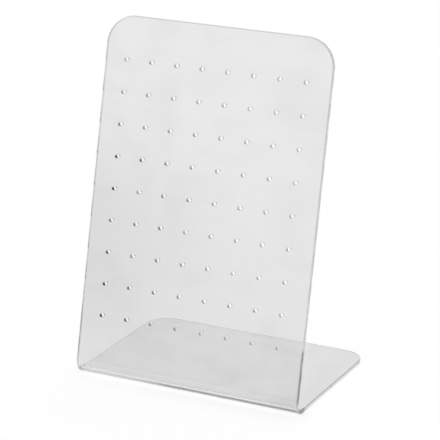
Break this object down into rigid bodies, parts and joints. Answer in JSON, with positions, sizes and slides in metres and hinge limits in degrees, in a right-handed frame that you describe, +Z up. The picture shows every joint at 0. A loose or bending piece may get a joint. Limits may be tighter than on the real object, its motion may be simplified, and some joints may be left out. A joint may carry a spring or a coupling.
{
  "type": "earring display stand",
  "caption": "One-piece clear acrylic earring stand: a leaning panel drilled with a grid of small post holes, bent at the bottom into a flat foot that reaches back.",
  "frame": {"origin": "centre of the stand's footprint, on the surface it stands on", "axes": "+X to the right along the bend as seen from the front; +Y to the back, the way the foot reaches and the panel leans; +Z up. The panel's front face looks towards -Y and up."},
  "size_m": [0.165, 0.116, 0.24],
  "materials": {
    "clear_acrylic": "clear, colourless, polished on both faces; cut edges and hole walls polished and looking greyer than the faces"
  },
  "bodies": {
    "root": {"bent_sheet": "clear_acrylic"}
  },
  "joints": []
}
